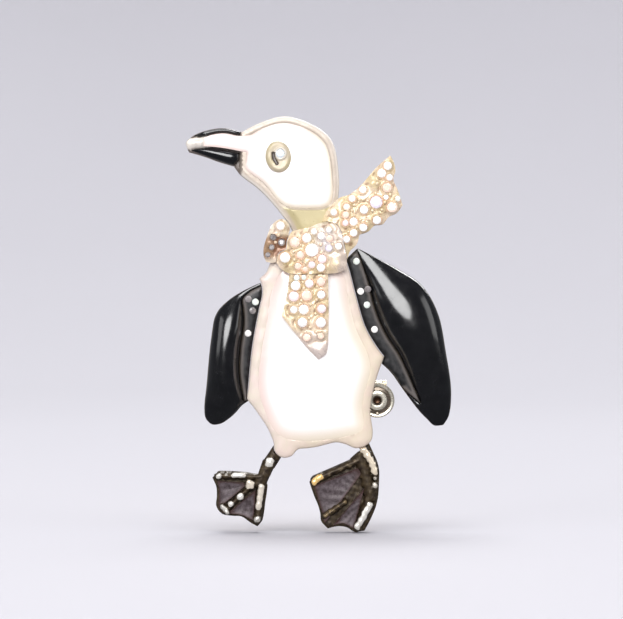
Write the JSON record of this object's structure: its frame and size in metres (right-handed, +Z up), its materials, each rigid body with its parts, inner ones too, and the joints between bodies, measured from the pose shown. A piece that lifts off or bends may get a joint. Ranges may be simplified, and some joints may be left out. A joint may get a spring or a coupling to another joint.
{
  "type": "penguin brooch",
  "caption": "Enamelled penguin brooch with domed black wings, stone-set scarf, webbed metal feet, and a hinged pin with a rotating safety catch on the back.",
  "frame": {"origin": "middle of the pin stem, on the stem's axis", "axes": "+Z up as the brooch is worn, -Y out of the enamelled face, +X to the right seen from the front, along the pin stem towards its point"},
  "size_m": [0.0374, 0.0111, 0.0585],
  "materials": {
    "gilt_metal": "polished pale gold plate",
    "antique_metal": "antiqued gold plate, dark in the hollows",
    "steel": "polished steel wire and fittings",
    "white_enamel": "glossy domed ivory-white enamel",
    "black_enamel": "glossy domed black enamel",
    "web_enamel": "thin translucent dark brown enamel",
    "crystal": "faceted clear crystal with a faint pink tint"
  },
  "bodies": {
    "brooch": {"belly_enamel": "white_enamel", "body_casting": "gilt_metal", "catch_body": "steel", "eye_bezel": "gilt_metal", "eye_crystal": "crystal", "head_casting": "gilt_metal", "head_enamel": "white_enamel", "hinge_bracket": "steel", "hinge_rivet": "steel", "left_foot_casting": "antique_metal", "left_foot_inner_web": "web_enamel", "left_foot_outer_web": "web_enamel", "left_wing_band": "black_enamel", "left_wing_casting": "antique_metal", "left_wing_crystal_1": "crystal", "left_wing_crystal_2": "crystal", "left_wing_crystal_3": "crystal", "left_wing_crystal_4": "crystal", "left_wing_enamel": "black_enamel", "lower_beak_enamel": "black_enamel", "right_foot_casting": "antique_metal", "right_foot_inner_web": "web_enamel", "right_foot_outer_web": "web_enamel", "right_wing_band": "black_enamel", "right_wing_casting": "antique_metal", "right_wing_crystal_1": "crystal", "right_wing_crystal_2": "crystal", "right_wing_crystal_3": "crystal", "right_wing_crystal_4": "crystal", "right_wing_crystal_5": "crystal", "right_wing_enamel": "black_enamel", "scarf_collar": "gilt_metal", "scarf_collar_pave": "crystal", "scarf_flying_pave": "crystal", "scarf_flying_tail": "gilt_metal", "scarf_front_pave": "crystal", "scarf_front_tail": "gilt_metal", "scarf_shoulder_fold": "gilt_metal", "scarf_shoulder_pave": "crystal", "upper_beak_enamel": "black_enamel"},
    "pin": {"pin_stem": "steel"},
    "safety_catch": {"catch_sleeve": "steel"}
  },
  "joints": [
    {"name": "pin_hinge", "type": "hinge", "parent": "brooch", "child": "pin", "pos_m": [-0.00784, 0, 0], "axis": [0, 0, 1], "range_deg": [0, 100]},
    {"name": "catch_roll", "type": "hinge", "parent": "brooch", "child": "safety_catch", "pos_m": [0.0081, 0, 0], "axis": [1, 0, 0], "range_deg": [0, 110]}
  ]
}
